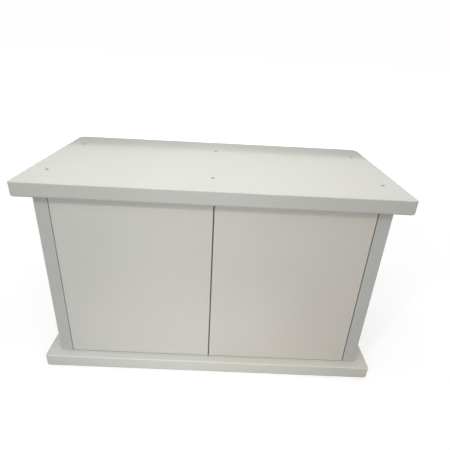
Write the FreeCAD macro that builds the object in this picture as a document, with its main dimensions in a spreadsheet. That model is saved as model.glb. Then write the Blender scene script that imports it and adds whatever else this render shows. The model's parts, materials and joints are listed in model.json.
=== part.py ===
import FreeCAD, Part

import os
import re

import Sketcher
from FreeCAD import Placement, Rotation, Vector

# Aquarium stand cabinet: a two-door box of thick laminated boards that carries a tank.
# Frame: +X to the right, +Y from the doors to the back, +Z up, in millimetres.
# The origin is on the floor, under the middle of the top board.

DIMENSIONS = {
    # outer boards
    "stand_height": 604,
    "board_thickness": 40,
    "top_width": 1000,
    "top_depth": 500,
    "top_front_overhang": 30,
    "base_width": 1000,
    "base_depth": 494,
    "base_front_overhang": 26,
    "glide_height": 2,
    "front_corner_radius": 8,
    "rear_corner_radius": 24,
    "base_corner_radius": 8,
    "base_edge_radius": 3,
    "upper_edge_radius": 3,
    "lower_edge_radius": 7,
    "edge_radius": 4,
    "panel_edge_radius": 1,
    # carcass
    "panel_thickness": 36,
    "carcass_width": 920,
    "carcass_depth": 428,
    "divider_thickness": 18,
    "divider_offset": -8,
    "divider_setback": 20,
    "back_thickness": 3,
    "back_margin": 2,
    # doors
    "door_thickness": 18,
    "gap_left": 2,
    "gap_centre": 3,
    "gap_right": 3,
    "gap_ends": 2,
    "door_opening": 110,
    # pivot hinges
    "pivot_inset": 32,
    "pivot_depth": 9,
    "pivot_pin_radius": 3,
    "pivot_pin_reach": 8,
    "pivot_clearance": 0.04,
    "leaf_width": 14,
    "leaf_thickness": 2,
    "leaf_long_end": 40,
    "leaf_short_end": 20,
    "leaf_first_screw": 18,
    "leaf_second_screw": 32,
    "socket_long_end": 46,
    "socket_short_end": 10,
    "socket_inner_edge": 17,
    "socket_first_screw": 22,
    "socket_second_screw": 38,
    "bush_radius": 5.5,
    "bush_depth": 11,
    "stop_circle": 12,
    "stop_radius": 2,
    "stop_height": 1.5,
    "stop_contact_angle": 20,
    "washer_radius": 6.5,
    "washer_play": 0.05,
    # push-to-open latches
    "latch_offset": 45,
    "latch_width": 16,
    "latch_length": 62,
    "latch_axis_drop": 9,
    "latch_setback": 22,
    "latch_ear_width": 36,
    "latch_ear_thickness": 3,
    "latch_ear_screw": 13,
    "latch_bore_depth": 58,
    "plunger_radius": 5,
    "plunger_clearance": 0.08,
    "plunger_length": 44,
    "plunger_tip_length": 6,
    "plunger_tip_radius": 4,
    "plunger_play": 0.3,
    "spring_radius": 3.6,
    "spring_wire_radius": 0.4,
    "spring_pitch": 1.6,
    "strike_size": 20,
    "strike_thickness": 1,
    # shelf
    "shelf_height": 300,
    "shelf_thickness": 18,
    "shelf_setback": 78,
    "shelf_back_gap": 6,
    "shelf_side_gap": 1,
    "shelf_pin_radius": 2.5,
    "shelf_pin_shoulder_radius": 3.5,
    "shelf_pin_depth": 9,
    "shelf_pin_reach": 9,
    "shelf_pin_inset": 40,
    "shelf_hole_pitch": 32,
    # hose and cable outlets
    "outlet_offset": 215,
    "outlet_height": 440,
    "grommet_bore": 27,
    "grommet_sleeve": 29.8,
    "grommet_flange": 36,
    "grommet_flange_thickness": 2,
    "grommet_clearance": 0.2,
    # fasteners
    "side_screw_x": 449,
    "side_screw_front": 77,
    "side_screw_rear": 360,
    "middle_screw_front": 71,
    "middle_screw_rear": 351,
    "confirmat_head_radius": 5,
    "confirmat_head_height": 4,
    "confirmat_shank_radius": 3.4,
    "confirmat_length": 70,
    "confirmat_recess": 0.4,
    "screw_head_radius": 3.5,
    "screw_head_height": 1.75,
    "screw_shank_radius": 1.75,
    "screw_length": 15,
    "screw_tip": 3,
    "back_screw_head_height": 2,
    "back_screw_length": 22,
    "back_screw_end_margin": 40,
    "hole_clearance": 0.05,
    "dowel_radius": 4,
    "dowel_length": 30,
    "dowel_in_board": 12,
    "dowel_chamfer": 1,
    "dowel_front": 130,
    "dowel_rear": 300,
    "glide_radius": 16,
    "glide_side_inset": 55,
    "glide_end_inset": 50,
}

# Lengths that follow from the driving dimensions.
DERIVED = {
    "front": "top_front_overhang - top_depth / 2",
    "base_middle_y": "front - base_front_overhang + base_depth / 2",
    "carcass_rear": "front + carcass_depth",
    "carcass_middle_y": "front + carcass_depth / 2",
    "carcass_bottom": "glide_height + board_thickness",
    "carcass_top": "stand_height - board_thickness",
    "carcass_height": "carcass_top - carcass_bottom",
    "inner_half": "carcass_width / 2 - panel_thickness",
    "side_middle_x": "carcass_width / 2 - panel_thickness / 2",
    "divider_front": "front + divider_setback",
    "divider_depth": "carcass_rear - divider_front",
    "divider_left": "divider_offset - divider_thickness / 2",
    "door_width": "(2 * inner_half - gap_left - gap_centre - gap_right) / 2",
    "door_back": "front + door_thickness",
    "door_bottom": "carcass_bottom + gap_ends",
    "door_top": "carcass_top - gap_ends",
    "pivot_x": "inner_half - pivot_inset",
    "pivot_y": "front + pivot_depth",
    "latch_front": "front + latch_setback",
    "latch_axis": "carcass_top - latch_axis_drop",
    "strike_face": "door_back + strike_thickness",
    "plunger_tip_end": "strike_face + plunger_play",
    "plunger_front": "plunger_tip_end + plunger_tip_length",
    "plunger_rear": "plunger_front + plunger_length",
    "shelf_left": "shelf_side_gap - inner_half",
    "shelf_right": "divider_left - shelf_side_gap",
    "shelf_front": "front + shelf_setback",
    "shelf_rear": "carcass_rear - shelf_back_gap",
    "shelf_pin_height": "shelf_height - shelf_pin_shoulder_radius",
    "stop_angle": "door_opening + stop_contact_angle",
    "screw_hole_radius": "screw_shank_radius + hole_clearance",
}

LEFT = -1
RIGHT = 1
SIDES = (("left", LEFT), ("right", RIGHT))
ORIGIN = ("0", "0", "0")
HEAD_UP = Rotation()
HEAD_DOWN = Rotation(Vector(1, 0, 0), 180)
HEAD_TO_REAR = Rotation(Vector(1, 0, 0), -90)

doc = FreeCAD.newDocument("AquariumStand")
sheet = doc.addObject("Spreadsheet::Sheet", "Dimensions")
for row, (alias, millimetres) in enumerate(DIMENSIONS.items(), start=1):
    sheet.set(f"A{row}", alias)
    sheet.set(f"B{row}", str(millimetres))
    sheet.setAlias(f"B{row}", alias)
doc.recompute()

nodes = []


def sized(formula):
    """Turn a formula of dimension names into an expression on the spreadsheet."""

    def reference(match):
        word = match.group(0)
        if word in DERIVED:
            return "(" + sized(DERIVED[word]) + ")"
        return "Dimensions." + word if word in DIMENSIONS else word

    return re.sub(r"[a-z_]+", reference, str(formula))


def number(formula):
    """The present value of a formula, used to draw a sketch near its solved shape."""
    return float(sheet.evalExpression(sized(formula)))


def place(item, origin, rotation=None):
    """Bind an object's position to the sheet, after turning it."""
    item.Placement = Placement(Vector(), rotation or Rotation())
    for axis, formula in zip("xyz", origin):
        item.setExpression(f".Placement.Base.{axis}", sized(formula))


def keep(item, name):
    """Give an object its node name and put it on the list of pieces to write."""
    item.Label = name
    nodes.append(item)
    return item


class Piece:
    """A PartDesign body drawn with points in the stand's own frame.

    Its local frame has the stand's axes and starts at origin. A sketch lies in one of
    the planes XY, XZ or YZ at a level along the third axis.
    """

    PLANES = {"XY": (0, 1, 2, 1), "XZ": (0, 2, 1, -1), "YZ": (1, 2, 0, 1)}

    def __init__(self, name, origin=ORIGIN, rotation=None):
        self.body = doc.addObject("PartDesign::Body", name)
        self.origin = origin
        place(self.body, origin, rotation)

    def sketch(self, plane, level):
        _, _, normal, sign = self.PLANES[plane]
        drawing = self.body.newObject("Sketcher::SketchObject", self.body.Name + "_sketch")
        role = plane + "_Plane"
        support = next(item for item in self.body.Origin.OriginFeatures if item.Role == role)
        drawing.AttachmentSupport = [(support, "")]
        drawing.MapMode = "FlatFace"
        offset = sized(f"{sign} * (({level}) - ({self.origin[normal]}))")
        drawing.setExpression(".AttachmentOffset.Base.z", offset)
        return drawing

    def local(self, plane, point):
        first, second, _, _ = self.PLANES[plane]
        return (
            f"({point[0]}) - ({self.origin[first]})",
            f"({point[1]}) - ({self.origin[second]})",
        )

    def dimension(self, drawing, kind, *place_and_value):
        *target, formula = place_and_value
        index = drawing.addConstraint(Sketcher.Constraint(kind, *target, number(formula)))
        drawing.setExpression(f"Constraints[{index}]", sized(formula))

    def polygon(self, plane, level, points):
        """A closed sketch of straight lines through the points."""
        drawing = self.sketch(plane, level)
        corners = [self.local(plane, point) for point in points]
        spots = [Vector(number(u), number(v), 0) for u, v in corners]
        count = len(spots)
        for index in range(count):
            line = Part.LineSegment(spots[index], spots[(index + 1) % count])
            drawing.addGeometry(line)
        for index in range(count):
            drawing.addConstraint(Sketcher.Constraint("Coincident", index, 2, (index + 1) % count, 1))
        for index, (u, v) in enumerate(corners):
            self.dimension(drawing, "DistanceX", index, 1, u)
            self.dimension(drawing, "DistanceY", index, 1, v)
        return drawing

    def rectangle(self, plane, level, low, high):
        (x0, y0), (x1, y1) = low, high
        return self.polygon(plane, level, [(x0, y0), (x1, y0), (x1, y1), (x0, y1)])

    def circles(self, plane, level, centres, radius):
        """A sketch of equal circles."""
        drawing = self.sketch(plane, level)
        for index, centre in enumerate(centres):
            u, v = self.local(plane, centre)
            middle = Vector(number(u), number(v), 0)
            drawing.addGeometry(Part.Circle(middle, Vector(0, 0, 1), number(radius)))
            self.dimension(drawing, "DistanceX", index, 3, u)
            self.dimension(drawing, "DistanceY", index, 3, v)
            self.dimension(drawing, "Radius", index, radius)
        return drawing

    def pad(self, drawing, length):
        feature = self.body.newObject("PartDesign::Pad", self.body.Name + "_pad")
        feature.Profile = drawing
        feature.setExpression("Length", sized(length))
        doc.recompute()
        return feature

    def pocket(self, drawing, depth, along_normal=False):
        """Cut a sketch into the solid, and stop if nothing was removed."""
        before = self.body.Shape.Volume
        feature = self.body.newObject("PartDesign::Pocket", self.body.Name + "_pocket")
        feature.Profile = drawing
        feature.Reversed = along_normal
        feature.setExpression("Length", sized(depth))
        doc.recompute()
        if not self.body.Shape.Volume < before:
            raise RuntimeError(f"{feature.Name} removes nothing")
        return feature

    def revolve(self, drawing):
        feature = self.body.newObject("PartDesign::Revolution", self.body.Name + "_turn")
        feature.Profile = drawing
        feature.ReferenceAxis = (drawing, ["V_Axis"])
        feature.Angle = 360
        doc.recompute()
        return feature

    def edge_names(self, wanted):
        edges = self.body.Tip.Shape.Edges
        return [f"Edge{index}" for index, edge in enumerate(edges, start=1) if wanted(edge)]

    def fillet(self, wanted, radius):
        base = self.body.Tip
        names = self.edge_names(wanted)
        feature = self.body.newObject("PartDesign::Fillet", self.body.Name + "_fillet")
        feature.Base = (base, names)
        feature.setExpression("Radius", sized(radius))
        doc.recompute()
        return feature

    def chamfer(self, wanted, size):
        base = self.body.Tip
        names = self.edge_names(wanted)
        feature = self.body.newObject("PartDesign::Chamfer", self.body.Name + "_chamfer")
        feature.Base = (base, names)
        feature.setExpression("Size", sized(size))
        doc.recompute()
        return feature


# ---------------------------------------------------------------- edge selection

NEAR = 1e-3


def upright(edge):
    """True for an edge parallel to Z."""
    box = edge.BoundBox
    return box.XLength < NEAR and box.YLength < NEAR and box.ZLength > NEAR


def level_at(height):
    """A test for edges that lie in the horizontal plane at a local height."""
    return lambda edge: abs(edge.BoundBox.ZMin - height) < NEAR and edge.BoundBox.ZLength < NEAR


def ring_at(height, radius):
    """A test for full circles of one radius at a local height."""

    def wanted(edge):
        curve = edge.Curve
        round_edge = isinstance(curve, Part.Circle) and abs(curve.Radius - radius) < NEAR
        return round_edge and level_at(height)(edge)

    return wanted


# ---------------------------------------------------------------- shared places

def columns():
    """The three upright panels: screw x, front and rear screw y, and dowel x."""
    for side in (LEFT, RIGHT):
        yield (f"{side} * side_screw_x", "front + side_screw_front",
               "front + side_screw_rear", f"{side} * side_middle_x")
    yield ("divider_offset", "front + middle_screw_front",
           "front + middle_screw_rear", "divider_offset")


def confirmat_points():
    return [(x, y) for x, front, rear, _ in columns() for y in (front, rear)]


def dowel_points():
    rows = ("front + dowel_front", "front + dowel_rear")
    return [(x, y) for _, _, _, x in columns() for y in rows]


def pivot_points(screw_offsets, sides=(LEFT, RIGHT)):
    """Points along a pivot plate, measured from the pivot towards the door's free edge."""
    return [(f"{side} * (pivot_x - ({offset}))", "pivot_y") for side in sides for offset in screw_offsets]


LEAF_SCREWS = ("leaf_first_screw", "leaf_second_screw")
SOCKET_SCREWS = ("socket_first_screw", "socket_second_screw")


def latch_screw_points():
    rows = ("latch_front + latch_length * 0.2", "latch_front + latch_length * 0.8")
    points = []
    for side in (LEFT, RIGHT):
        centre = f"{side} * latch_offset"
        points.append((f"{centre} - latch_ear_screw", rows[0]))
        points.append((f"{centre} + latch_ear_screw", rows[1]))
    return points


def back_screw_points():
    """Four screws up each upright panel, through the back panel."""
    xs = ("-side_middle_x", "divider_offset", "side_middle_x")
    low = "carcass_bottom + back_screw_end_margin"
    span = "(carcass_height - 2 * back_screw_end_margin)"
    return [(x, f"{low} + {span} * {step} / 3") for x in xs for step in range(4)]


def shelf_hole_heights():
    """The pin row: the hole in use and two spare ones above and below it."""
    return [f"shelf_pin_height + {step} * shelf_hole_pitch" for step in range(-2, 3)]


def shelf_pin_rows():
    return ("shelf_front + shelf_pin_inset", "shelf_rear - shelf_pin_inset")


# ---------------------------------------------------------------- boards

def socket_recesses(piece, level, downward_face):
    """Sink the pivot sockets into a board: a flat recess and a bore for each bush."""
    for side in (LEFT, RIGHT):
        outer = f"{side} * (pivot_x + socket_short_end)"
        inner = f"{side} * (pivot_x - socket_long_end)"
        low, high = (outer, inner) if side == LEFT else (inner, outer)
        plate = piece.rectangle("XY", level, (low, "pivot_y - leaf_width / 2"),
                                (high, "pivot_y + socket_inner_edge"))
        piece.pocket(plate, "leaf_thickness", downward_face)
    bores = piece.circles("XY", level, pivot_points(["0"]), "bush_radius + hole_clearance")
    piece.pocket(bores, "bush_depth + hole_clearance", downward_face)
    screws = piece.circles("XY", level, pivot_points(SOCKET_SCREWS), "screw_hole_radius")
    piece.pocket(screws, "screw_length + hole_clearance", downward_face)


def make_top_board():
    piece = Piece("top_board", ("0", "0", "carcass_top"))
    half = ("top_width / 2", "top_depth / 2")
    outline = piece.rectangle("XY", "carcass_top", ("-top_width / 2", "-top_depth / 2"), half)
    piece.pad(outline, "board_thickness")
    piece.fillet(lambda edge: upright(edge) and edge.BoundBox.YMin < 0, "front_corner_radius")
    piece.fillet(lambda edge: upright(edge) and edge.BoundBox.YMin > 0, "rear_corner_radius")
    piece.fillet(level_at(number("board_thickness")), "upper_edge_radius")
    piece.fillet(level_at(0), "lower_edge_radius")
    screws = confirmat_points()
    shanks = piece.circles("XY", "stand_height", screws, "confirmat_shank_radius + hole_clearance")
    piece.pocket(shanks, "board_thickness")
    heads = piece.circles("XY", "stand_height", screws, "confirmat_head_radius + hole_clearance")
    piece.pocket(heads, "confirmat_recess + confirmat_head_height")
    dowels = piece.circles("XY", "carcass_top", dowel_points(), "dowel_radius + hole_clearance")
    piece.pocket(dowels, "dowel_in_board + hole_clearance", True)
    socket_recesses(piece, "carcass_top", True)
    latch = piece.circles("XY", "carcass_top", latch_screw_points(), "screw_hole_radius")
    piece.pocket(latch, "screw_length - latch_ear_thickness + hole_clearance", True)
    return keep(piece.body, "top_board")


def make_base_board():
    piece = Piece("base_board", ("0", "base_middle_y", "glide_height"))
    low = ("-base_width / 2", "base_middle_y - base_depth / 2")
    high = ("base_width / 2", "base_middle_y + base_depth / 2")
    piece.pad(piece.rectangle("XY", "glide_height", low, high), "board_thickness")
    piece.fillet(upright, "base_corner_radius")
    piece.fillet(level_at(number("board_thickness")), "base_edge_radius")
    piece.fillet(level_at(0), "base_edge_radius")
    screws = confirmat_points()
    shanks = piece.circles("XY", "glide_height", screws, "confirmat_shank_radius + hole_clearance")
    piece.pocket(shanks, "board_thickness", True)
    heads = piece.circles("XY", "glide_height", screws, "confirmat_head_radius + hole_clearance")
    piece.pocket(heads, "confirmat_recess + confirmat_head_height", True)
    dowels = piece.circles("XY", "carcass_bottom", dowel_points(), "dowel_radius + hole_clearance")
    piece.pocket(dowels, "dowel_in_board + hole_clearance")
    socket_recesses(piece, "carcass_bottom", False)
    return keep(piece.body, "base_board")


def drill_upright(piece, screws, dowels, back_x):
    """Bore an upright panel's ends and rear edge for its screws and dowels."""
    bore = "confirmat_shank_radius + hole_clearance"
    reach = "confirmat_length + confirmat_recess + hole_clearance - board_thickness"
    peg = "dowel_radius + hole_clearance"
    peg_reach = "dowel_length - dowel_in_board + hole_clearance"
    for level, upward in (("carcass_top", False), ("carcass_bottom", True)):
        piece.pocket(piece.circles("XY", level, screws, bore), reach, upward)
        piece.pocket(piece.circles("XY", level, dowels, peg), peg_reach, upward)
    rear = [(x, z) for x, z in back_screw_points() if x == back_x]
    holes = piece.circles("XZ", "carcass_rear", rear, "screw_hole_radius")
    piece.pocket(holes, "back_screw_length - back_thickness + hole_clearance", True)


def shelf_holes(piece, face, along_normal):
    """A row of shelf-pin holes in one face of an upright panel."""
    centres = [(y, z) for y in shelf_pin_rows() for z in shelf_hole_heights()]
    holes = piece.circles("YZ", face, centres, "shelf_pin_radius + hole_clearance")
    piece.pocket(holes, "shelf_pin_depth + hole_clearance", along_normal)


def make_side_panel(name, side):
    middle = f"{side} * side_middle_x"
    piece = Piece(name + "_side_panel", (middle, "carcass_middle_y", "carcass_bottom"))
    low = (f"{middle} - panel_thickness / 2", "front")
    high = (f"{middle} + panel_thickness / 2", "carcass_rear")
    piece.pad(piece.rectangle("XY", "carcass_bottom", low, high), "carcass_height")
    piece.fillet(lambda edge: upright(edge) and edge.BoundBox.YMin < 0, "panel_edge_radius")
    column = list(columns())[0 if side == LEFT else 1]
    screw_x, screw_front, screw_rear, dowel_x = column
    dowels = [point for point in dowel_points() if point[0] == dowel_x]
    back_x = "-side_middle_x" if side == LEFT else "side_middle_x"
    drill_upright(piece, [(screw_x, screw_front), (screw_x, screw_rear)], dowels, back_x)
    if side == LEFT:
        shelf_holes(piece, "-inner_half", False)
    return keep(piece.body, name + "_side_panel")


def make_divider():
    origin = ("divider_offset", "divider_front + divider_depth / 2", "carcass_bottom")
    piece = Piece("centre_divider", origin)
    low = ("divider_left", "divider_front")
    high = ("divider_left + divider_thickness", "carcass_rear")
    piece.pad(piece.rectangle("XY", "carcass_bottom", low, high), "carcass_height")
    piece.fillet(lambda edge: upright(edge) and edge.BoundBox.YMin < 0, "panel_edge_radius")
    screw_x, screw_front, screw_rear, dowel_x = list(columns())[2]
    dowels = [point for point in dowel_points() if point[0] == dowel_x]
    drill_upright(piece, [(screw_x, screw_front), (screw_x, screw_rear)], dowels, "divider_offset")
    shelf_holes(piece, "divider_left", True)
    return keep(piece.body, "centre_divider")


def make_back_panel():
    piece = Piece("back_panel", ("0", "carcass_rear", "carcass_bottom"))
    half = "carcass_width / 2 - back_margin"
    low = (f"-({half})", "carcass_bottom + back_margin")
    high = (half, "carcass_top - back_margin")
    piece.pad(piece.rectangle("XZ", "carcass_rear + back_thickness", low, high), "back_thickness")
    outlets = [(f"{side} * outlet_offset", "outlet_height") for side in (LEFT, RIGHT)]
    rear = "carcass_rear + back_thickness"
    piece.pocket(piece.circles("XZ", rear, outlets, "grommet_sleeve + grommet_clearance"),
                 "back_thickness", True)
    piece.pocket(piece.circles("XZ", rear, back_screw_points(), "screw_hole_radius"),
                 "back_thickness", True)
    return keep(piece.body, "back_panel")


def make_shelf():
    origin = ("(shelf_left + shelf_right) / 2", "(shelf_front + shelf_rear) / 2", "shelf_height")
    piece = Piece("shelf", origin)
    outline = piece.rectangle("XY", "shelf_height", ("shelf_left", "shelf_front"),
                              ("shelf_right", "shelf_rear"))
    piece.pad(outline, "shelf_thickness")
    piece.fillet(lambda edge: edge.BoundBox.YMin < 0 and edge.BoundBox.YLength < NEAR
                 and edge.BoundBox.XLength > NEAR, "panel_edge_radius")
    return keep(piece.body, "shelf")


# ---------------------------------------------------------------- doors

def door_span(side):
    if side == LEFT:
        return "gap_left - inner_half", "gap_left - inner_half + door_width"
    return "inner_half - gap_right - door_width", "inner_half - gap_right"


def make_door(name, side):
    x0, x1 = door_span(side)
    piece = Piece(name + "_door", (f"({x0} + {x1}) / 2", "front + door_thickness / 2", "door_bottom"))
    piece.pad(piece.rectangle("XY", "door_bottom", (x0, "front"), (x1, "door_back")),
              "door_top - door_bottom")
    piece.fillet(lambda edge: edge.BoundBox.YMin < 0 and edge.BoundBox.YLength < NEAR,
                 "panel_edge_radius")
    outer = f"{side} * (pivot_x + leaf_short_end)"
    inner = f"{side} * (pivot_x - leaf_long_end)"
    low, high = (outer, inner) if side == LEFT else (inner, outer)
    for level, upward in (("door_top", False), ("door_bottom", True)):
        seat = piece.rectangle("XY", level, (low, "pivot_y - leaf_width / 2"),
                               (high, "pivot_y + leaf_width / 2"))
        piece.pocket(seat, "leaf_thickness", upward)
        screws = piece.circles("XY", level, pivot_points(LEAF_SCREWS, (side,)), "screw_hole_radius")
        piece.pocket(screws, "screw_length + hole_clearance", upward)
    return keep(piece.body, name + "_door")


# ---------------------------------------------------------------- pivot hinges

def make_pivot_leaf(name, side, upper):
    """The door's half of a pivot: a plate let into the door's end, with a pin and a stop stud.

    Drawn with the pin upward and the door's free edge towards +X.
    """
    turn = Rotation()
    if side == RIGHT:
        turn = Rotation(Vector(0, 0, 1), 180)
    if not upper:
        turn = turn.multiply(Rotation(Vector(1, 0, 0), 180))
    piece = Piece(name, ORIGIN)
    plate = piece.rectangle("XY", "-leaf_thickness", ("-leaf_short_end", "-leaf_width / 2"),
                            ("leaf_long_end", "leaf_width / 2"))
    piece.pad(plate, "leaf_thickness")
    piece.fillet(upright, "panel_edge_radius")
    piece.pad(piece.circles("XY", "0", [("0", "0")], "pivot_pin_radius"), "gap_ends + pivot_pin_reach")
    piece.pad(piece.circles("XY", "0", [("-stop_circle", "0")], "stop_radius"), "stop_height")
    holes = piece.circles("XY", "0", [(spot, "0") for spot in LEAF_SCREWS], "screw_hole_radius")
    piece.pocket(holes, "leaf_thickness")
    piece.chamfer(ring_at(0, number("screw_hole_radius")), "screw_head_height")
    piece.chamfer(ring_at(number("gap_ends + pivot_pin_reach"), number("pivot_pin_radius")),
                  "pivot_pin_radius / 6")
    place(piece.body, (f"{side} * pivot_x", "pivot_y", "door_top" if upper else "door_bottom"), turn)
    return keep(piece.body, name)


def make_pivot_socket(name, side, upper):
    """The board's half of a pivot: a plate with a bush for the pin and a stop stud.

    Drawn facing down for an upper socket. hand mirrors the plate, because its inner
    edge has to point to the back of the cabinet at both ends of both doors.
    """
    hand = 1 if (side == LEFT) == upper else -1
    turn = Rotation() if upper else Rotation(Vector(0, 1, 0), 180)
    piece = Piece(name, ORIGIN)
    ends = (f"{-hand} * socket_short_end", f"{hand} * socket_long_end")
    low, high = ends if hand > 0 else (ends[1], ends[0])
    plate = piece.rectangle("XY", "0", (low, "-leaf_width / 2"), (high, "socket_inner_edge"))
    piece.pad(plate, "leaf_thickness")
    piece.fillet(upright, "panel_edge_radius")
    piece.pad(piece.circles("XY", "leaf_thickness", [("0", "0")], "bush_radius"),
              "bush_depth - leaf_thickness")
    piece.pocket(piece.circles("XY", "0", [("0", "0")], "pivot_pin_radius + pivot_clearance"),
                 "bush_depth - leaf_thickness / 2", True)
    stud = (f"{-hand} * stop_circle * cos(stop_angle * 1 deg)", "stop_circle * sin(stop_angle * 1 deg)")
    piece.pad(piece.circles("XY", "-stop_height", [stud], "stop_radius"), "stop_height")
    holes = piece.circles("XY", "0", [(f"{hand} * {spot}", "0") for spot in SOCKET_SCREWS],
                          "screw_hole_radius")
    piece.pocket(holes, "leaf_thickness", True)
    piece.chamfer(ring_at(0, number("screw_hole_radius")), "screw_head_height")
    height = "carcass_top" if upper else "carcass_bottom"
    place(piece.body, (f"{side} * pivot_x", "pivot_y", height), turn)
    return keep(piece.body, name)


# ---------------------------------------------------------------- push latches

def make_latch_housing(name, side):
    """A tube with two screw ears, fixed under the top board behind the door's free edge."""
    centre = f"{side} * latch_offset"
    piece = Piece(name, (centre, "latch_front", "latch_axis"))
    half = "latch_width / 2"
    ear = "latch_ear_width / 2"
    under_ear = "carcass_top - latch_ear_thickness"
    bottom = f"latch_axis - {half}"
    points = [
        (f"{centre} - {half}", bottom), (f"{centre} + {half}", bottom),
        (f"{centre} + {half}", under_ear), (f"{centre} + {ear}", under_ear),
        (f"{centre} + {ear}", "carcass_top"), (f"{centre} - {ear}", "carcass_top"),
        (f"{centre} - {ear}", under_ear), (f"{centre} - {half}", under_ear),
    ]
    rear = "latch_front + latch_length"
    piece.pad(piece.polygon("XZ", rear, points), "latch_length")
    low_edges = number(f"{bottom} - latch_axis")
    piece.fillet(lambda edge: edge.BoundBox.YLength > NEAR and edge.BoundBox.ZLength < NEAR
                 and abs(edge.BoundBox.ZMin - low_edges) < NEAR, "edge_radius")
    bore = piece.circles("XZ", "latch_front", [(centre, "latch_axis")],
                         "plunger_radius + plunger_clearance")
    piece.pocket(bore, "latch_bore_depth")
    first = 0 if side == LEFT else 2
    screws = latch_screw_points()[first:first + 2]
    holes = piece.circles("XY", under_ear, screws, "screw_hole_radius")
    piece.pocket(holes, "latch_ear_thickness", True)
    ear_face = number(f"{under_ear} - latch_axis")
    piece.chamfer(ring_at(ear_face, number("screw_hole_radius")), "screw_head_height")
    return keep(piece.body, name)


def turned(piece, profile):
    """Revolve a profile of (radius, height) points about the piece's own Z axis."""
    return piece.revolve(piece.polygon("XZ", "0", profile))


def make_plunger(name, side):
    piece = Piece(name)
    turned(piece, [
        ("0", "0"), ("plunger_radius - panel_edge_radius / 2", "0"),
        ("plunger_radius", "panel_edge_radius / 2"), ("plunger_radius", "plunger_length"),
        ("0", "plunger_length"),
    ])
    place(piece.body, (f"{side} * latch_offset", "plunger_rear", "latch_axis"),
          Rotation(Vector(1, 0, 0), 90))
    return keep(piece.body, name)


def make_plunger_tip(name, side):
    piece = Piece(name)
    turned(piece, [
        ("0", "0"), ("plunger_tip_radius", "0"),
        ("plunger_tip_radius", "plunger_tip_length - panel_edge_radius"),
        ("plunger_tip_radius - panel_edge_radius", "plunger_tip_length"),
        ("0", "plunger_tip_length"),
    ])
    place(piece.body, (f"{side} * latch_offset", "plunger_front", "latch_axis"),
          Rotation(Vector(1, 0, 0), 90))
    return keep(piece.body, name)


def make_latch_spring(name, side):
    """The plunger's compression spring at its closed length, at the blind end of the bore."""
    helix = doc.addObject("Part::Helix", name + "_path")
    helix.setExpression("Radius", sized("spring_radius"))
    helix.setExpression("Pitch", sized("spring_pitch"))
    room = "latch_front + latch_bore_depth - plunger_rear - 3 * spring_wire_radius"
    helix.setExpression("Height", sized(room))
    wire = doc.addObject("Part::Circle", name + "_wire")
    wire.setExpression("Radius", sized("spring_wire_radius"))
    wire.Placement = Placement(Vector(), Rotation(Vector(1, 0, 0), 90))
    wire.setExpression(".Placement.Base.x", sized("spring_radius"))
    doc.recompute()
    sweep = doc.addObject("Part::Sweep", name)
    sweep.Sections = [wire]
    sweep.Spine = (helix, ["Edge1"])
    sweep.Solid = True
    sweep.Frenet = True
    place(sweep, (f"{side} * latch_offset", "latch_front + latch_bore_depth - 1.5 * spring_wire_radius",
                  "latch_axis"), Rotation(Vector(1, 0, 0), 90))
    doc.recompute()
    return keep(sweep, name)


def make_strike_plate(name, side):
    """A self-adhesive steel plate on the door's back, where the plunger presses."""
    centre = f"{side} * latch_offset"
    piece = Piece(name, (centre, "door_back", "latch_axis"))
    half = "strike_size / 2"
    high = "door_top - panel_edge_radius"
    plate = piece.rectangle("XZ", "strike_face", (f"{centre} - {half}", f"latch_axis - {half}"),
                            (f"{centre} + {half}", high))
    piece.pad(plate, "strike_thickness")
    piece.fillet(lambda edge: edge.BoundBox.XLength < NEAR and edge.BoundBox.ZLength < NEAR,
                 "panel_edge_radius")
    return keep(piece.body, name)


# ---------------------------------------------------------------- fasteners and small parts

def cross_recess(piece, level, reach, width, depth):
    """Cut a cross-shaped driver recess into a screw head."""
    for along, across in ((reach, width), (width, reach)):
        arm = piece.rectangle("XY", level, (f"-({along})", f"-({across})"), (along, across))
        piece.pocket(arm, depth)


def make_wood_screw(name, head_height, length):
    """A countersunk screw with its head up at the origin."""
    piece = Piece(name)
    turned(piece, [
        ("0", "0"), ("screw_head_radius", "0"), ("screw_shank_radius", f"-{head_height}"),
        ("screw_shank_radius", f"screw_tip - {length}"), ("0", f"-{length}"),
    ])
    cross_recess(piece, "0", "screw_head_radius * 0.6", "screw_head_radius * 0.13",
                 "screw_head_height * 0.7")
    return piece.body


def make_back_screw():
    """A screw with a low domed head that sits on the back panel."""
    piece = Piece("back_screw")
    turned(piece, [
        ("0", "back_screw_head_height"), ("screw_head_radius * 0.6", "back_screw_head_height"),
        ("screw_head_radius", "back_screw_head_height * 0.4"), ("screw_head_radius", "0"),
        ("screw_shank_radius", "0"), ("screw_shank_radius", "screw_tip - back_screw_length"),
        ("0", "-back_screw_length"),
    ])
    cross_recess(piece, "back_screw_head_height", "screw_head_radius * 0.5",
                 "screw_head_radius * 0.13", "back_screw_head_height * 0.6")
    return piece.body


def make_confirmat():
    """A one-piece furniture connector screw with a round collar head and a hexagon socket."""
    piece = Piece("confirmat")
    turned(piece, [
        ("0", "0"), ("confirmat_head_radius - edge_radius / 10", "0"),
        ("confirmat_head_radius", "-edge_radius / 10"),
        ("confirmat_head_radius", "-confirmat_head_height"),
        ("confirmat_shank_radius", "-confirmat_head_height"),
        ("confirmat_shank_radius", "screw_tip - confirmat_length"),
        ("0", "-confirmat_length"),
    ])
    socket = "confirmat_head_radius * 0.42"
    corners = [(f"{socket} * cos({60 * step} deg)", f"{socket} * sin({60 * step} deg)")
               for step in range(6)]
    piece.pocket(piece.polygon("XY", "0", corners), "confirmat_head_height * 0.75")
    return piece.body


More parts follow.
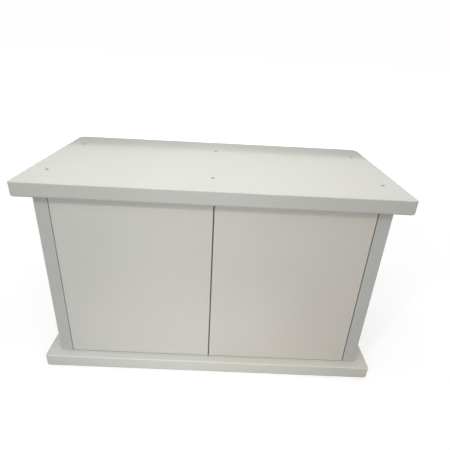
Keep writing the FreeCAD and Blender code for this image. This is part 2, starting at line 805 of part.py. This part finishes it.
def make_dowel():
    piece = Piece("dowel")
    slim = "dowel_radius - dowel_chamfer"
    turned(piece, [
        ("0", "0"), (slim, "0"), ("dowel_radius", "dowel_chamfer"),
        ("dowel_radius", "dowel_length - dowel_chamfer"), (slim, "dowel_length"),
        ("0", "dowel_length"),
    ])
    return piece.body


def make_glide():
    piece = Piece("glide")
    turned(piece, [
        ("0", "0"), ("glide_radius - glide_height / 2", "0"), ("glide_radius", "glide_height / 2"),
        ("glide_radius", "glide_height"), ("0", "glide_height"),
    ])
    return piece.body


def make_shelf_pin():
    """A stepped pin with its thin end in the panel, pointing down from the origin."""
    piece = Piece("shelf_pin")
    turned(piece, [
        ("0", "shelf_pin_reach"), ("shelf_pin_shoulder_radius", "shelf_pin_reach"),
        ("shelf_pin_shoulder_radius", "0"), ("shelf_pin_radius", "0"),
        ("shelf_pin_radius", "-shelf_pin_depth"), ("0", "-shelf_pin_depth"),
    ])
    return piece.body


def make_washer():
    piece = Piece("washer")
    bore = "pivot_pin_radius + pivot_clearance"
    turned(piece, [
        (bore, "washer_play"), ("washer_radius", "washer_play"),
        ("washer_radius", "gap_ends - washer_play"), (bore, "gap_ends - washer_play"),
    ])
    return piece.body


def make_grommet(name, side):
    """A flanged ring that lines a hose outlet, with its flange on the outside."""
    piece = Piece(name)
    turned(piece, [
        ("grommet_bore", "-back_thickness - grommet_flange_thickness"),
        ("grommet_sleeve", "-back_thickness - grommet_flange_thickness"),
        ("grommet_sleeve", "0"), ("grommet_flange", "0"),
        ("grommet_flange", "grommet_flange_thickness / 2"),
        ("grommet_flange - grommet_flange_thickness / 2", "grommet_flange_thickness"),
        ("grommet_bore", "grommet_flange_thickness"),
    ])
    place(piece.body, (f"{side} * outlet_offset", "carcass_rear + back_thickness", "outlet_height"),
          HEAD_TO_REAR)
    return keep(piece.body, name)


def group(name, places):
    """One node of equal fasteners: a linked copy of a master at each place."""
    copies = []
    for index, (master, origin, rotation) in enumerate(places, start=1):
        copy = doc.addObject("App::Link", f"{name}_{index}")
        copy.LinkedObject = master
        place(copy, origin, rotation)
        copies.append(copy)
    compound = doc.addObject("Part::Compound", name)
    compound.Links = copies
    return keep(compound, name)


def make_fasteners():
    wood_screw = make_wood_screw("wood_screw", "screw_head_height", "screw_length")
    back_screw = make_back_screw()
    confirmat = make_confirmat()
    dowel = make_dowel()

    tops = [(confirmat, (x, y, "stand_height - confirmat_recess"), HEAD_UP)
            for x, y in confirmat_points()]
    group("top_confirmat_screws", tops)
    bottoms = [(confirmat, (x, y, "glide_height + confirmat_recess"), HEAD_DOWN)
               for x, y in confirmat_points()]
    group("base_confirmat_screws", bottoms)

    group("top_dowels", [(dowel, (x, y, "carcass_top + dowel_in_board - dowel_length"), HEAD_UP)
                         for x, y in dowel_points()])
    group("base_dowels", [(dowel, (x, y, "carcass_bottom - dowel_in_board"), HEAD_UP)
                          for x, y in dowel_points()])

    group("back_panel_screws", [(back_screw, (x, "carcass_rear + back_thickness", z), HEAD_TO_REAR)
                                for x, z in back_screw_points()])

    sockets = pivot_points(SOCKET_SCREWS)
    group("pivot_socket_screws",
          [(wood_screw, (x, y, "carcass_top"), HEAD_DOWN) for x, y in sockets]
          + [(wood_screw, (x, y, "carcass_bottom"), HEAD_UP) for x, y in sockets])
    group("latch_screws", [(wood_screw, (x, y, "carcass_top - latch_ear_thickness"), HEAD_DOWN)
                           for x, y in latch_screw_points()])

    for name, side in SIDES:
        leaves = pivot_points(LEAF_SCREWS, (side,))
        group(name + "_door_screws",
              [(wood_screw, (x, y, "door_top"), HEAD_UP) for x, y in leaves]
              + [(wood_screw, (x, y, "door_bottom"), HEAD_DOWN) for x, y in leaves])


def make_small_parts():
    washer = make_washer()
    for name, side in SIDES:
        pivot = (f"{side} * pivot_x", "pivot_y")
        group(name + "_pivot_washers", [(washer, (*pivot, "door_top"), HEAD_UP),
                                        (washer, (*pivot, "carcass_bottom"), HEAD_UP)])
    pin = make_shelf_pin()
    towards_right = Rotation(Vector(0, 1, 0), 90)
    towards_left = Rotation(Vector(0, 1, 0), -90)
    group("shelf_pins",
          [(pin, ("-inner_half", y, "shelf_pin_height"), towards_right) for y in shelf_pin_rows()]
          + [(pin, ("divider_left", y, "shelf_pin_height"), towards_left) for y in shelf_pin_rows()])
    glide = make_glide()
    glide_x = ("glide_side_inset - base_width / 2", "0", "base_width / 2 - glide_side_inset")
    glide_y = ("base_middle_y - base_depth / 2 + glide_end_inset",
               "base_middle_y + base_depth / 2 - glide_end_inset")
    group("floor_glides", [(glide, (x, y, "0"), HEAD_UP) for x in glide_x for y in glide_y])


def check(item):
    """Stop on any object that failed to compute or has no valid shape."""
    if {"Invalid", "Error"} & set(item.State):
        raise RuntimeError(f"{item.Name} failed: {item.State}")


def main():
    make_top_board()
    make_base_board()
    for name, side in SIDES:
        make_side_panel(name, side)
    make_divider()
    make_back_panel()
    make_shelf()
    for name, side in SIDES:
        make_door(name, side)
        for end, upper in (("upper", True), ("lower", False)):
            make_pivot_leaf(f"{name}_{end}_pivot_leaf", side, upper)
            make_pivot_socket(f"{name}_{end}_pivot_socket", side, upper)
        make_latch_housing(name + "_latch_housing", side)
        make_plunger(name + "_latch_plunger", side)
        make_plunger_tip(name + "_plunger_tip", side)
        make_latch_spring(name + "_latch_spring", side)
        make_strike_plate(name + "_strike_plate", side)
        make_grommet(name + "_hose_grommet", side)
    make_small_parts()
    make_fasteners()
    doc.recompute()

    for item in doc.Objects:
        check(item)
    for node in nodes:
        if node.Shape.isNull() or not node.Shape.isValid():
            raise RuntimeError(f"{node.Label} has no valid shape")
    os.makedirs("parts", exist_ok=True)
    for node in nodes:
        node.Shape.exportStep(f"parts/{node.Label}.step")
        box = node.Shape.BoundBox
        print(f"{node.Label}: {len(node.Shape.Solids)} solids, {node.Shape.Volume:.0f} mm3,"
              f" x {box.XMin:.1f}..{box.XMax:.1f}, y {box.YMin:.1f}..{box.YMax:.1f},"
              f" z {box.ZMin:.1f}..{box.ZMax:.1f}")
    print(len(nodes), "nodes")


main()
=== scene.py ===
import json
import math

import bmesh
import bpy
from mathutils import Matrix, Vector


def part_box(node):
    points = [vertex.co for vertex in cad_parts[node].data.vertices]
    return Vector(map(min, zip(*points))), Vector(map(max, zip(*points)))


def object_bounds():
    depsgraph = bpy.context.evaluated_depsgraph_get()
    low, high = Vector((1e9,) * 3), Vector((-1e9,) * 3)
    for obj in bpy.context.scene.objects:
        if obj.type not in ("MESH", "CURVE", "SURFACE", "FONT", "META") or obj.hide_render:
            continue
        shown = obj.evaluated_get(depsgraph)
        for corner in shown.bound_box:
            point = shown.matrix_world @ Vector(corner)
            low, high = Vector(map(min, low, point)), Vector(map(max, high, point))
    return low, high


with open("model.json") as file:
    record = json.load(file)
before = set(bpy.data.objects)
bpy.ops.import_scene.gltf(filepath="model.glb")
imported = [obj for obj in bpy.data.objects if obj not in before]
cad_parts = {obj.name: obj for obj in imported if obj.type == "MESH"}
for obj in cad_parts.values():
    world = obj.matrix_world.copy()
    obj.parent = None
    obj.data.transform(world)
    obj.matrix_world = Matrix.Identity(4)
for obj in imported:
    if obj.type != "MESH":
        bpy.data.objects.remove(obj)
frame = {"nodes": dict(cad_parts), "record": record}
nodes = frame["nodes"]
cad_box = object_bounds()

MM = 0.001

# colours of light
WHITE = (1.0, 1.0, 1.0)
COOL = (0.92, 1.03, 0.99)
WARM = (1.025, 0.99, 1.0)

# The floor's own tone, its glow where the camera sees it, and how far from the stand it fades to white.
FLOOR_WHITE = 0.55
FLOOR_GLOW_SEEN = 0.59
FLOOR_FADES = (1.5, 4.0)
FLOOR_RADIUS = 40.0
FLOOR_BELOW = 0.1 * MM

# The room's light: the direction it comes from and its strength, from the front, back, left, right and above.
ROOM = (
    ((0.0, -1.0, 0.0), 0.96),
    ((0.0, 1.0, 0.0), 0.75),
    ((-1.0, 0.0, 0.0), 0.68),
    ((1.0, 0.0, 0.0), 0.66),
    ((0.0, 0.0, 1.0), 0.1),
)

# Cards behind the stand, which the top's gloss reflects: name, width, height, centre, tilt in degrees, glow.
CARDS = (
    ("low_card", 3.0, 0.64, (0.0, 0.285, 0.324), 0.0, 0.2),
    ("high_card", 3.0, 0.68, (0.0, 0.38, 0.344), -0.6, 1.04),
)

# Area lights: name, centre, target, width, height, watts, colour, seen in gloss.
LIGHTS = (
    ("key", (-0.25, -0.98, 1.25), (0.0, -0.22, 0.45), 0.08, 0.08, 3.4, COOL, False),
    ("low_fill", (-0.05, -0.52, 0.08), (-0.05, -0.22, 0.08), 0.75, 0.1, 0.39, WARM, False),
    ("front_fill", (-0.03, -0.62, 0.61), (-0.02, -0.25, 0.57), 0.35, 0.2, 0.23, WHITE, False),
    ("top_fill", (0.0, -0.05, 1.3), (0.0, -0.05, 0.6), 0.5, 0.5, 2.45, WHITE, False),
    ("overhead", (0.0, 0.1, 2.6), (0.0, 0.0, 0.0), 1.6, 1.6, 1.6, WHITE, True),
)

# A phone's wide lens, held above the front edge, tilted down and slightly rolled.
CAMERA_PLACE = (0.0156, -1.0801, 0.9170)
CAMERA_YAW = -0.946
CAMERA_PITCH = -25.786
CAMERA_ROLL = 3.101
CAMERA_LENS = 29.33
SENSOR_WIDTH = 36.0


# ---------------------------------------------------------------- node helpers

def math_node(tree, operation, first, second=None):
    """A Math node of a node tree. Each value is a number or another node's output."""
    node = tree.nodes.new("ShaderNodeMath")
    node.operation = operation
    for socket, value in zip(node.inputs, (first, second)):
        if isinstance(value, (int, float)):
            socket.default_value = value
        elif value is not None:
            tree.links.new(value, socket)
    return node.outputs["Value"]


class Shader:
    """A material with a Principled shader and short calls for the nodes that feed it."""

    def __init__(self, name):
        self.material = bpy.data.materials.new(name)
        self.material.use_nodes = True
        self.tree = self.material.node_tree
        self.surface = self.tree.nodes["Principled BSDF"]
        coordinates = self.tree.nodes.new("ShaderNodeTexCoord")
        self.place = coordinates.outputs["Object"]
        self.facing = coordinates.outputs["Normal"]

    def set(self, **sockets):
        for name, value in sockets.items():
            self.surface.inputs[name.replace("_", " ")].default_value = value

    def link(self, output, socket):
        self.tree.links.new(output, socket)

    def feed(self, name, output):
        self.link(output, self.surface.inputs[name])

    def stretched(self, scale):
        node = self.tree.nodes.new("ShaderNodeMapping")
        node.inputs["Scale"].default_value = scale
        self.link(self.place, node.inputs["Vector"])
        return node.outputs["Vector"]

    def noise(self, scale, detail=3.0, roughness=0.5, place=None, distortion=0.0):
        node = self.tree.nodes.new("ShaderNodeTexNoise")
        node.inputs["Scale"].default_value = scale
        node.inputs["Detail"].default_value = detail
        node.inputs["Roughness"].default_value = roughness
        node.inputs["Distortion"].default_value = distortion
        self.link(place or self.place, node.inputs["Vector"])
        return node.outputs["Fac"]

    def axis(self, vector, name):
        node = self.tree.nodes.new("ShaderNodeSeparateXYZ")
        self.link(vector, node.inputs["Vector"])
        return node.outputs[name]

    def cells(self, scale):
        node = self.tree.nodes.new("ShaderNodeTexVoronoi")
        node.inputs["Scale"].default_value = scale
        self.link(self.place, node.inputs["Vector"])
        return node.outputs["Distance"]

    def between(self, value, low, high, out_low=0.0, out_high=1.0):
        """Map low..high of a value to out_low..out_high, clamped."""
        node = self.tree.nodes.new("ShaderNodeMapRange")
        node.inputs["From Min"].default_value = low
        node.inputs["From Max"].default_value = high
        node.inputs["To Min"].default_value = out_low
        node.inputs["To Max"].default_value = out_high
        self.link(value, node.inputs["Value"])
        return node.outputs["Result"]

    def math(self, operation, first, second=None):
        return math_node(self.tree, operation, first, second)

    def mix(self, factor, first, second, blend="MIX"):
        """Mix two colours, each a tuple or another node's output."""
        node = self.tree.nodes.new("ShaderNodeMix")
        node.data_type = "RGBA"
        node.blend_type = blend
        for name, value in (("Factor", factor), ("A", first), ("B", second)):
            socket = next(item for item in node.inputs if item.name == name and item.enabled)
            if isinstance(value, (int, float)):
                socket.default_value = value
            elif isinstance(value, tuple):
                socket.default_value = (*value, 1.0)
            else:
                self.link(value, socket)
        return next(item for item in node.outputs if item.enabled)

    def bump(self, height, distance, strength, below=None):
        node = self.tree.nodes.new("ShaderNodeBump")
        node.inputs["Strength"].default_value = strength
        node.inputs["Distance"].default_value = distance
        self.link(height, node.inputs["Height"])
        if below is not None:
            self.link(below, node.inputs["Normal"])
        return node.outputs["Normal"]


# ---------------------------------------------------------------- materials

# the axis that the two large faces of a level board, a side panel or divider, and a door look along
LEVEL, CROSSWISE, UPRIGHT = "Z", "X", "Y"

# Laminate: factors on its colour, the painted warm tint of light and where along X it grows, the glue line,
# and what smudges and wiping add to its roughness.
CLOUD = (0.97, 0.962, 0.955)
FLECK = 0.94
PAINTED_WARM_TINT = (1.015, 0.97, 0.93)
PAINTED_WARM_SPAN = (-0.45, 0.45)
PLAIN_EDGE = (0.93, 0.93, 0.93)
GLUE = (0.30, 0.29, 0.27)
GLUE_COVER = 0.45
SEAM_WIDTH = 0.3 * MM
SMUDGE_ROUGHNESS = 0.08
WIPED_ROUGHNESS = 0.06

# The other materials: the factor that dulls zinc, and their colours.
DULL_ZINC = 0.78
STAIN = (0.36, 0.35, 0.31)
BLACK_RUBBER = (0.018, 0.018, 0.019)
RUBBER_DUST = (0.07, 0.068, 0.064)
LACQUER = (0.60, 0.60, 0.575)
LACQUER_SHADE = (0.575, 0.572, 0.545)
LACQUER_BLOTCH = (0.62, 0.62, 0.60)
FIBRE_SPECK = (0.40, 0.33, 0.25)
CUT_FIBRE = (0.27, 0.16, 0.085)
CUT_FIBRE_DARK = (0.19, 0.11, 0.06)
PALE_BEECH = (0.58, 0.38, 0.21)
DARK_BEECH = (0.42, 0.25, 0.13)


def rim_distance(shader, node, flat, corners):
    """How far a point of a board's flat face is from the rim of the board, up to the corner
    radius. corners are the corner radii at the two ends of the second axis of that face, lower first."""
    low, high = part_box(node)
    across = [axis for axis in "XYZ" if axis != flat]
    radius = corners[0]
    if corners[0] != corners[1]:
        radius = shader.between(shader.axis(shader.place, across[1]), -MM, MM, *corners)
    beyond = []
    for axis in across:
        index = "XYZ".index(axis)
        middle = (low[index] + high[index]) / 2
        half = (high[index] - low[index]) / 2
        from_middle = shader.math("SUBTRACT", shader.axis(shader.place, axis), middle)
        off_middle = shader.math("ABSOLUTE", from_middle)
        straight = shader.math("SUBTRACT", half, radius)
        beyond.append(shader.math("MAXIMUM", shader.math("SUBTRACT", off_middle, straight), 0.0))
    square = [shader.math("POWER", value, 2.0) for value in beyond]
    reach = shader.math("POWER", shader.math("ADD", *square), 0.5)
    return shader.math("SUBTRACT", radius, reach)


def laminate_tone(shader, colour, painted_warm_light):
    """A large face's colour: faint clouds and tiny flecks, and, if asked for, a painted warm tint of light
    that grows towards the right.
    """
    clouds = shader.between(shader.noise(3.1, detail=4.0, distortion=0.4), 0.35, 0.68)
    warm = tuple(channel * share for channel, share in zip(colour, CLOUD))
    tone = shader.mix(clouds, colour, warm)
    # painted warm light: a warm tint of the colour that grows towards the right
    if painted_warm_light:
        right = shader.between(shader.axis(shader.place, "X"), *PAINTED_WARM_SPAN)
        tone = shader.mix(right, tone, shader.mix(1.0, tone, PAINTED_WARM_TINT, "MULTIPLY"))
    flecks = shader.between(shader.noise(520.0, detail=1.0), 0.62, 0.8)
    darker = tuple(channel * FLECK for channel in colour)
    return shader.mix(shader.math("MULTIPLY", flecks, 0.5), tone, darker)


def laminate_roughness(shader, smoothest):
    """Wiped smudges and streaks, which make the surface a little rougher than its smoothest parts."""
    smudges = shader.between(shader.noise(9.0, detail=5.0, roughness=0.62, distortion=0.8), 0.3, 0.75)
    wiping = shader.noise(6.0, detail=3.0, place=shader.stretched((1.0, 7.0, 7.0)))
    added = shader.math("ADD", shader.math("MULTIPLY", smudges, SMUDGE_ROUGHNESS),
                        shader.math("MULTIPLY", wiping, WIPED_ROUGHNESS))
    return shader.math("ADD", added, smoothest)


def laminate(name, colour, node, flat=LEVEL, smoothest=0.29, edge=PLAIN_EDGE, painted_warm_light=True,
             seam=1 * MM, corners=(4 * MM, 4 * MM)):
    """Satin white laminate on one board, with a fine pressed texture.
    flat is the axis that the board's two large faces look along. On its other faces, the edge
    bands, the colour is multiplied by edge; on the top, the base and the side panels this is painted
    shade, darkening their edge bands. A board may also get a painted warm tint of light that grows
    towards the right. A fine glue line runs round the large faces, at the distance seam from the rim.
    Each board is either above a roughness of about 0.27 all over or below it all over, because the
    render shows dark marks on a board that crosses it."""
    shader = Shader(name)
    tone = laminate_tone(shader, colour, painted_warm_light)
    on_flat = shader.math("ABSOLUTE", shader.axis(shader.facing, flat))
    band = shader.between(on_flat, 0.45, 0.75, out_low=1.0, out_high=0.0)
    # the edge bands' tone; on the top, the base and the side panels it is painted shade
    tone = shader.mix(band, tone, shader.mix(1.0, tone, edge, "MULTIPLY"))
    from_seam = shader.math("SUBTRACT", rim_distance(shader, node, flat, corners), seam)
    off_seam = shader.math("ABSOLUTE", from_seam)
    line = shader.between(off_seam, 0.0, SEAM_WIDTH, out_low=1.0, out_high=0.0)
    line = shader.math("MULTIPLY", line, shader.between(on_flat, 0.9, 0.98))
    tone = shader.mix(shader.math("MULTIPLY", line, GLUE_COVER), tone, GLUE)
    shader.feed("Base Color", tone)
    shader.feed("Roughness", laminate_roughness(shader, smoothest))
    waves = shader.noise(14.0, detail=2.0)
    pearl = shader.noise(700.0, detail=1.0)
    relief = shader.bump(waves, 0.2 * MM, 0.4)
    relief = shader.bump(pearl, 0.03 * MM, 0.2, below=relief)
    relief = shader.bump(shader.math("SUBTRACT", 1.0, line), 0.1 * MM, 0.6, below=relief)
    shader.feed("Normal", relief)
    shader.set(IOR=1.5)
    return shader.material


def plated_steel(name, colour, rough=0.32):
    """Zinc-plated pressed steel with a crystalline mottle and fine rub marks."""
    shader = Shader(name)
    crystal = shader.between(shader.cells(420.0), 0.1, 0.75)
    dull = tuple(channel * DULL_ZINC for channel in colour)
    tone = shader.mix(crystal, colour, dull)
    stain = shader.between(shader.noise(60.0, detail=5.0, roughness=0.65), 0.52, 0.75)
    tone = shader.mix(shader.math("MULTIPLY", stain, 0.35), tone, STAIN)
    shader.feed("Base Color", tone)
    scratch = shader.noise(90.0, detail=3.0, place=shader.stretched((1.0, 22.0, 22.0)))
    shader.feed("Roughness", shader.between(scratch, 0.3, 0.75, rough - 0.08, rough + 0.14))
    shader.feed("Normal", shader.bump(scratch, 0.02 * MM, 0.4))
    shader.set(Metallic=1.0)
    return shader.material


def moulded(name, colour, rough=0.5):
    """Moulded plastic with an even fine grain and a cloudy tone."""
    shader = Shader(name)
    grain = shader.noise(1200.0, detail=2.0, roughness=0.7)
    cloud = shader.between(shader.noise(45.0, detail=3.0), 0.35, 0.7)
    paler = tuple(min(1.0, channel * 1.12 + 0.01) for channel in colour)
    shader.feed("Base Color", shader.mix(cloud, colour, paler))
    shader.feed("Roughness", shader.between(grain, 0.25, 0.75, rough - 0.07, rough + 0.09))
    shader.feed("Normal", shader.bump(grain, 0.04 * MM, 0.45))
    return shader.material


def rubber(name):
    """Black rubber with grey dust in its pores."""
    shader = Shader(name)
    dust = shader.between(shader.noise(160.0, detail=4.0, roughness=0.7), 0.5, 0.72)
    shader.feed("Base Color", shader.mix(dust, BLACK_RUBBER, RUBBER_DUST))
    shader.feed("Roughness", shader.between(dust, 0.0, 1.0, out_low=0.62, out_high=0.82))
    shader.feed("Normal", shader.bump(shader.noise(700.0), 0.05 * MM, 0.5))
    return shader.material


def hardboard(name):
    """Thin lacquered hardboard: a white face over faint fibres, and brown fibre where it is cut."""
    shader = Shader(name)
    fibre = shader.noise(150.0, detail=4.0, roughness=0.7, distortion=0.6)
    shade = shader.between(fibre, 0.35, 0.8)
    tone = shader.mix(shade, LACQUER, LACQUER_SHADE)
    blotch = shader.between(shader.noise(4.0, detail=4.0), 0.4, 0.7)
    tone = shader.mix(shader.math("MULTIPLY", blotch, 0.4), tone, LACQUER_BLOTCH)
    speck = shader.between(shader.noise(75.0, detail=2.0), 0.74, 0.8, out_high=0.35)
    tone = shader.mix(speck, tone, FIBRE_SPECK)
    on_face = shader.math("ABSOLUTE", shader.axis(shader.facing, UPRIGHT))
    cut = shader.between(on_face, 0.4, 0.6, out_low=1.0, out_high=0.0)
    brown = shader.mix(shade, CUT_FIBRE, CUT_FIBRE_DARK)
    shader.feed("Base Color", shader.mix(cut, tone, brown))
    shader.feed("Roughness", shader.between(fibre, 0.3, 0.7, out_low=0.46, out_high=0.6))
    shader.feed("Normal", shader.bump(fibre, 0.05 * MM, 0.35))
    return shader.material


def beech(name):
    """Beech dowel: short dark flecks along the grain."""
    shader = Shader(name)
    along = shader.stretched((1.0, 1.0, 0.08))
    rings = shader.between(shader.noise(260.0, detail=4.0, place=along), 0.35, 0.7)
    shader.feed("Base Color", shader.mix(rings, PALE_BEECH, DARK_BEECH))
    shader.feed("Roughness", shader.between(rings, 0.0, 1.0, out_low=0.6, out_high=0.72))
    shader.feed("Normal", shader.bump(rings, 0.08 * MM, 0.5))
    return shader.material


# The boards. Each has a material of its own, because the glue line follows the board's rim.
TOP_WHITE = (0.583, 0.596, 0.540)
# painted light: the base's white is lighter than the top's, standing in for the light falling on the base
BASE_WHITE_PAINTED_LIGHT = (0.695, 0.72, 0.684)
SHELF_WHITE = (0.60, 0.605, 0.56)
WHITE_BOARD = (0.529, 0.532, 0.502)
# painted shade: these factors darken the edge bands of the top (also bluer), the base and the side panels
TOP_EDGE_PAINTED_SHADE = (0.798, 0.782, 0.82)
BASE_EDGE_PAINTED_SHADE = (0.77, 0.775, 0.77)
PANEL_EDGE_PAINTED_SHADE = (0.832, 0.841, 0.85)
PANEL_SMOOTHEST = 0.27
TOP_SMOOTHEST = 0.13
FRONT_CORNER = 8 * MM
REAR_CORNER = 24 * MM
WIDE_SEAM = 4 * MM

TOP = laminate("top_white_painted_shade", TOP_WHITE, "top_board", smoothest=TOP_SMOOTHEST, edge=TOP_EDGE_PAINTED_SHADE,
               painted_warm_light=False, seam=WIDE_SEAM, corners=(FRONT_CORNER, REAR_CORNER))
BASE = laminate("base_white_painted_light_and_shade", BASE_WHITE_PAINTED_LIGHT, "base_board", smoothest=TOP_SMOOTHEST, edge=BASE_EDGE_PAINTED_SHADE,
                seam=WIDE_SEAM, corners=(FRONT_CORNER, FRONT_CORNER))
SHELF = laminate("shelf_white_painted_warm", SHELF_WHITE, "shelf")
DIVIDER = laminate("divider_white_painted_warm", WHITE_BOARD, "centre_divider", CROSSWISE)
LEFT_PANEL, RIGHT_PANEL = (
    laminate(f"{side}_panel_white_painted_shade", WHITE_BOARD, f"{side}_side_panel", CROSSWISE,
             smoothest=PANEL_SMOOTHEST, edge=PANEL_EDGE_PAINTED_SHADE, painted_warm_light=False)
    for side in ("left", "right"))
LEFT_DOOR, RIGHT_DOOR = (
    laminate(f"{side}_door_white_painted_warm", WHITE_BOARD, f"{side}_door", UPRIGHT, smoothest=PANEL_SMOOTHEST)
    for side in ("left", "right"))

# the fittings, the back and the dowels
ZINC = plated_steel("zinc_plate", (0.62, 0.62, 0.60))
SCREW_STEEL = plated_steel("screw_zinc", (0.36, 0.36, 0.35), rough=0.38)
SPRING_STEEL = plated_steel("spring_wire", (0.55, 0.55, 0.55), rough=0.26)
NYLON = moulded("nylon", (0.74, 0.73, 0.68), rough=0.42)
LATCH = moulded("latch_grey", (0.26, 0.27, 0.28))
GROMMET = moulded("grommet_white", (0.66, 0.66, 0.64), rough=0.45)
GLIDE = moulded("glide_white", (0.6, 0.6, 0.57))
TIP = rubber("tip_rubber")
BACK = hardboard("back_face")
DOWEL = beech("beech")

# material of each slot in the record
SLOT_MATERIALS = {
    "board_laminate": TOP,
    "panel_laminate": DIVIDER,
    "door_laminate": LEFT_DOOR,
    "hardboard_white": BACK,
    "pivot_steel": ZINC,
    "nylon_white": NYLON,
    "latch_plastic": LATCH,
    "tip_rubber": TIP,
    "spring_steel": SPRING_STEEL,
    "grommet_plastic": GROMMET,
    "screw_zinc": SCREW_STEEL,
    "glide_plastic": GLIDE,
    "dowel_beech": DOWEL,
}

# boards that share a slot with another board
NODE_MATERIALS = {
    "base_board": BASE,
    "left_side_panel": LEFT_PANEL,
    "right_side_panel": RIGHT_PANEL,
    "right_door": RIGHT_DOOR,
    "shelf": SHELF,
}


def finish_cad_nodes():
    """Give every CAD node its board's own material, or else that of its slot in the record."""
    for part in frame["record"]["subparts"]:
        mesh = nodes[part["node"]].data
        material = NODE_MATERIALS.get(part["node"], SLOT_MATERIALS[part["material_slot"]])
        for index in range(len(mesh.materials)):
            mesh.materials[index] = material


# ---------------------------------------------------------------- studio

def make_floor():
    """A wide pale floor that fades into the white surroundings far from the stand."""
    mesh = bpy.data.meshes.new("floor")
    shape = bmesh.new()
    bmesh.ops.create_circle(shape, cap_ends=True, radius=FLOOR_RADIUS, segments=96)
    shape.to_mesh(mesh)
    shape.free()
    floor = bpy.data.objects.new("floor", mesh)
    floor.location.z = cad_box[0][2] - FLOOR_BELOW
    bpy.context.scene.collection.objects.link(floor)
    shader = Shader("floor_paper")
    distance = shader.tree.nodes.new("ShaderNodeVectorMath")
    distance.operation = "LENGTH"
    shader.link(shader.place, distance.inputs[0])
    far = shader.between(distance.outputs["Value"], *FLOOR_FADES, FLOOR_GLOW_SEEN, 1.0)
    seen = shader.tree.nodes.new("ShaderNodeLightPath")
    glow = shader.math("MULTIPLY", far, seen.outputs["Is Camera Ray"])
    mottle = shader.between(shader.noise(2.0), 0.3, 0.7, FLOOR_WHITE - 0.02, FLOOR_WHITE)
    grey = shader.tree.nodes.new("ShaderNodeCombineColor")
    for channel in grey.inputs:
        shader.link(mottle, channel)
    shader.feed("Base Color", grey.outputs["Color"])
    shader.set(Roughness=0.9, Emission_Color=(*WHITE, 1.0), Specular_IOR_Level=0.0)
    shader.feed("Emission Strength", glow)
    mesh.materials.append(shader.material)


def make_card(name, width, height, centre, tilt, glow):
    """A glowing studio card that shows only in glossy reflections."""
    mesh = bpy.data.meshes.new(name)
    shape = bmesh.new()
    bmesh.ops.create_grid(shape, x_segments=1, y_segments=1, size=0.5)
    shape.to_mesh(mesh)
    shape.free()
    card = bpy.data.objects.new(name, mesh)
    card.scale = (width, height, 1.0)
    card.rotation_euler = (math.radians(90), math.radians(tilt), 0.0)
    card.location = centre
    card.visible_camera = False
    card.visible_diffuse = False
    card.visible_shadow = False
    card.visible_transmission = False
    bpy.context.scene.collection.objects.link(card)
    shader = Shader(name)
    shader.set(Base_Color=(0.0, 0.0, 0.0, 1.0), Roughness=1.0, Specular_IOR_Level=0.0)
    shader.set(Emission_Color=(*WHITE, 1.0), Emission_Strength=glow)
    mesh.materials.append(shader.material)


def make_world():
    """Soft room light that differs by direction. The camera itself sees plain white."""
    world = bpy.data.worlds.new("studio")
    bpy.context.scene.world = world
    world.use_nodes = True
    tree = world.node_tree
    background = tree.nodes["Background"]
    background.inputs["Color"].default_value = (*WARM, 1.0)
    coordinates = tree.nodes.new("ShaderNodeTexCoord")
    total = 0.0
    for direction, strength in ROOM:
        facing = tree.nodes.new("ShaderNodeVectorMath")
        facing.operation = "DOT_PRODUCT"
        tree.links.new(coordinates.outputs["Generated"], facing.inputs[0])
        facing.inputs[1].default_value = direction
        share = math_node(tree, "MAXIMUM", facing.outputs["Value"], 0.0)
        total = math_node(tree, "ADD", math_node(tree, "MULTIPLY", share, strength), total)
    seen = tree.nodes.new("ShaderNodeLightPath")
    shown = math_node(tree, "MAXIMUM", total, seen.outputs["Is Camera Ray"])
    tree.links.new(shown, background.inputs["Strength"])


def make_light(name, centre, target, width, height, watts, colour, glossy):
    """An elliptical area light that looks from its centre to its target."""
    data = bpy.data.lights.new(name, "AREA")
    data.shape = "ELLIPSE"
    data.size = width
    data.size_y = height
    data.energy = watts
    data.color = colour
    light = bpy.data.objects.new(name, data)
    light.location = centre
    direction = Vector(target) - Vector(centre)
    light.rotation_euler = direction.to_track_quat("-Z", "Y").to_euler()
    light.visible_camera = False
    light.visible_glossy = glossy
    bpy.context.scene.collection.objects.link(light)


def make_camera():
    """Set the scene's camera, turned by its yaw, pitch and roll from a level view along +Y."""
    data = bpy.data.cameras.new("camera")
    data.sensor_width = SENSOR_WIDTH
    data.lens = CAMERA_LENS
    camera = bpy.data.objects.new("camera", data)
    turns = ((CAMERA_YAW, "Z"), (90 + CAMERA_PITCH, "X"), (CAMERA_ROLL, "Z"))
    place = Matrix.Translation(CAMERA_PLACE)
    for angle, axis in turns:
        place = place @ Matrix.Rotation(math.radians(angle), 4, axis)
    camera.matrix_world = place
    bpy.context.scene.collection.objects.link(camera)
    bpy.context.scene.camera = camera


bpy.context.scene.view_settings.view_transform = "Standard"
make_camera()
finish_cad_nodes()
make_floor()
make_world()
for card in CARDS:
    make_card(*card)
for light in LIGHTS:
    make_light(*light)
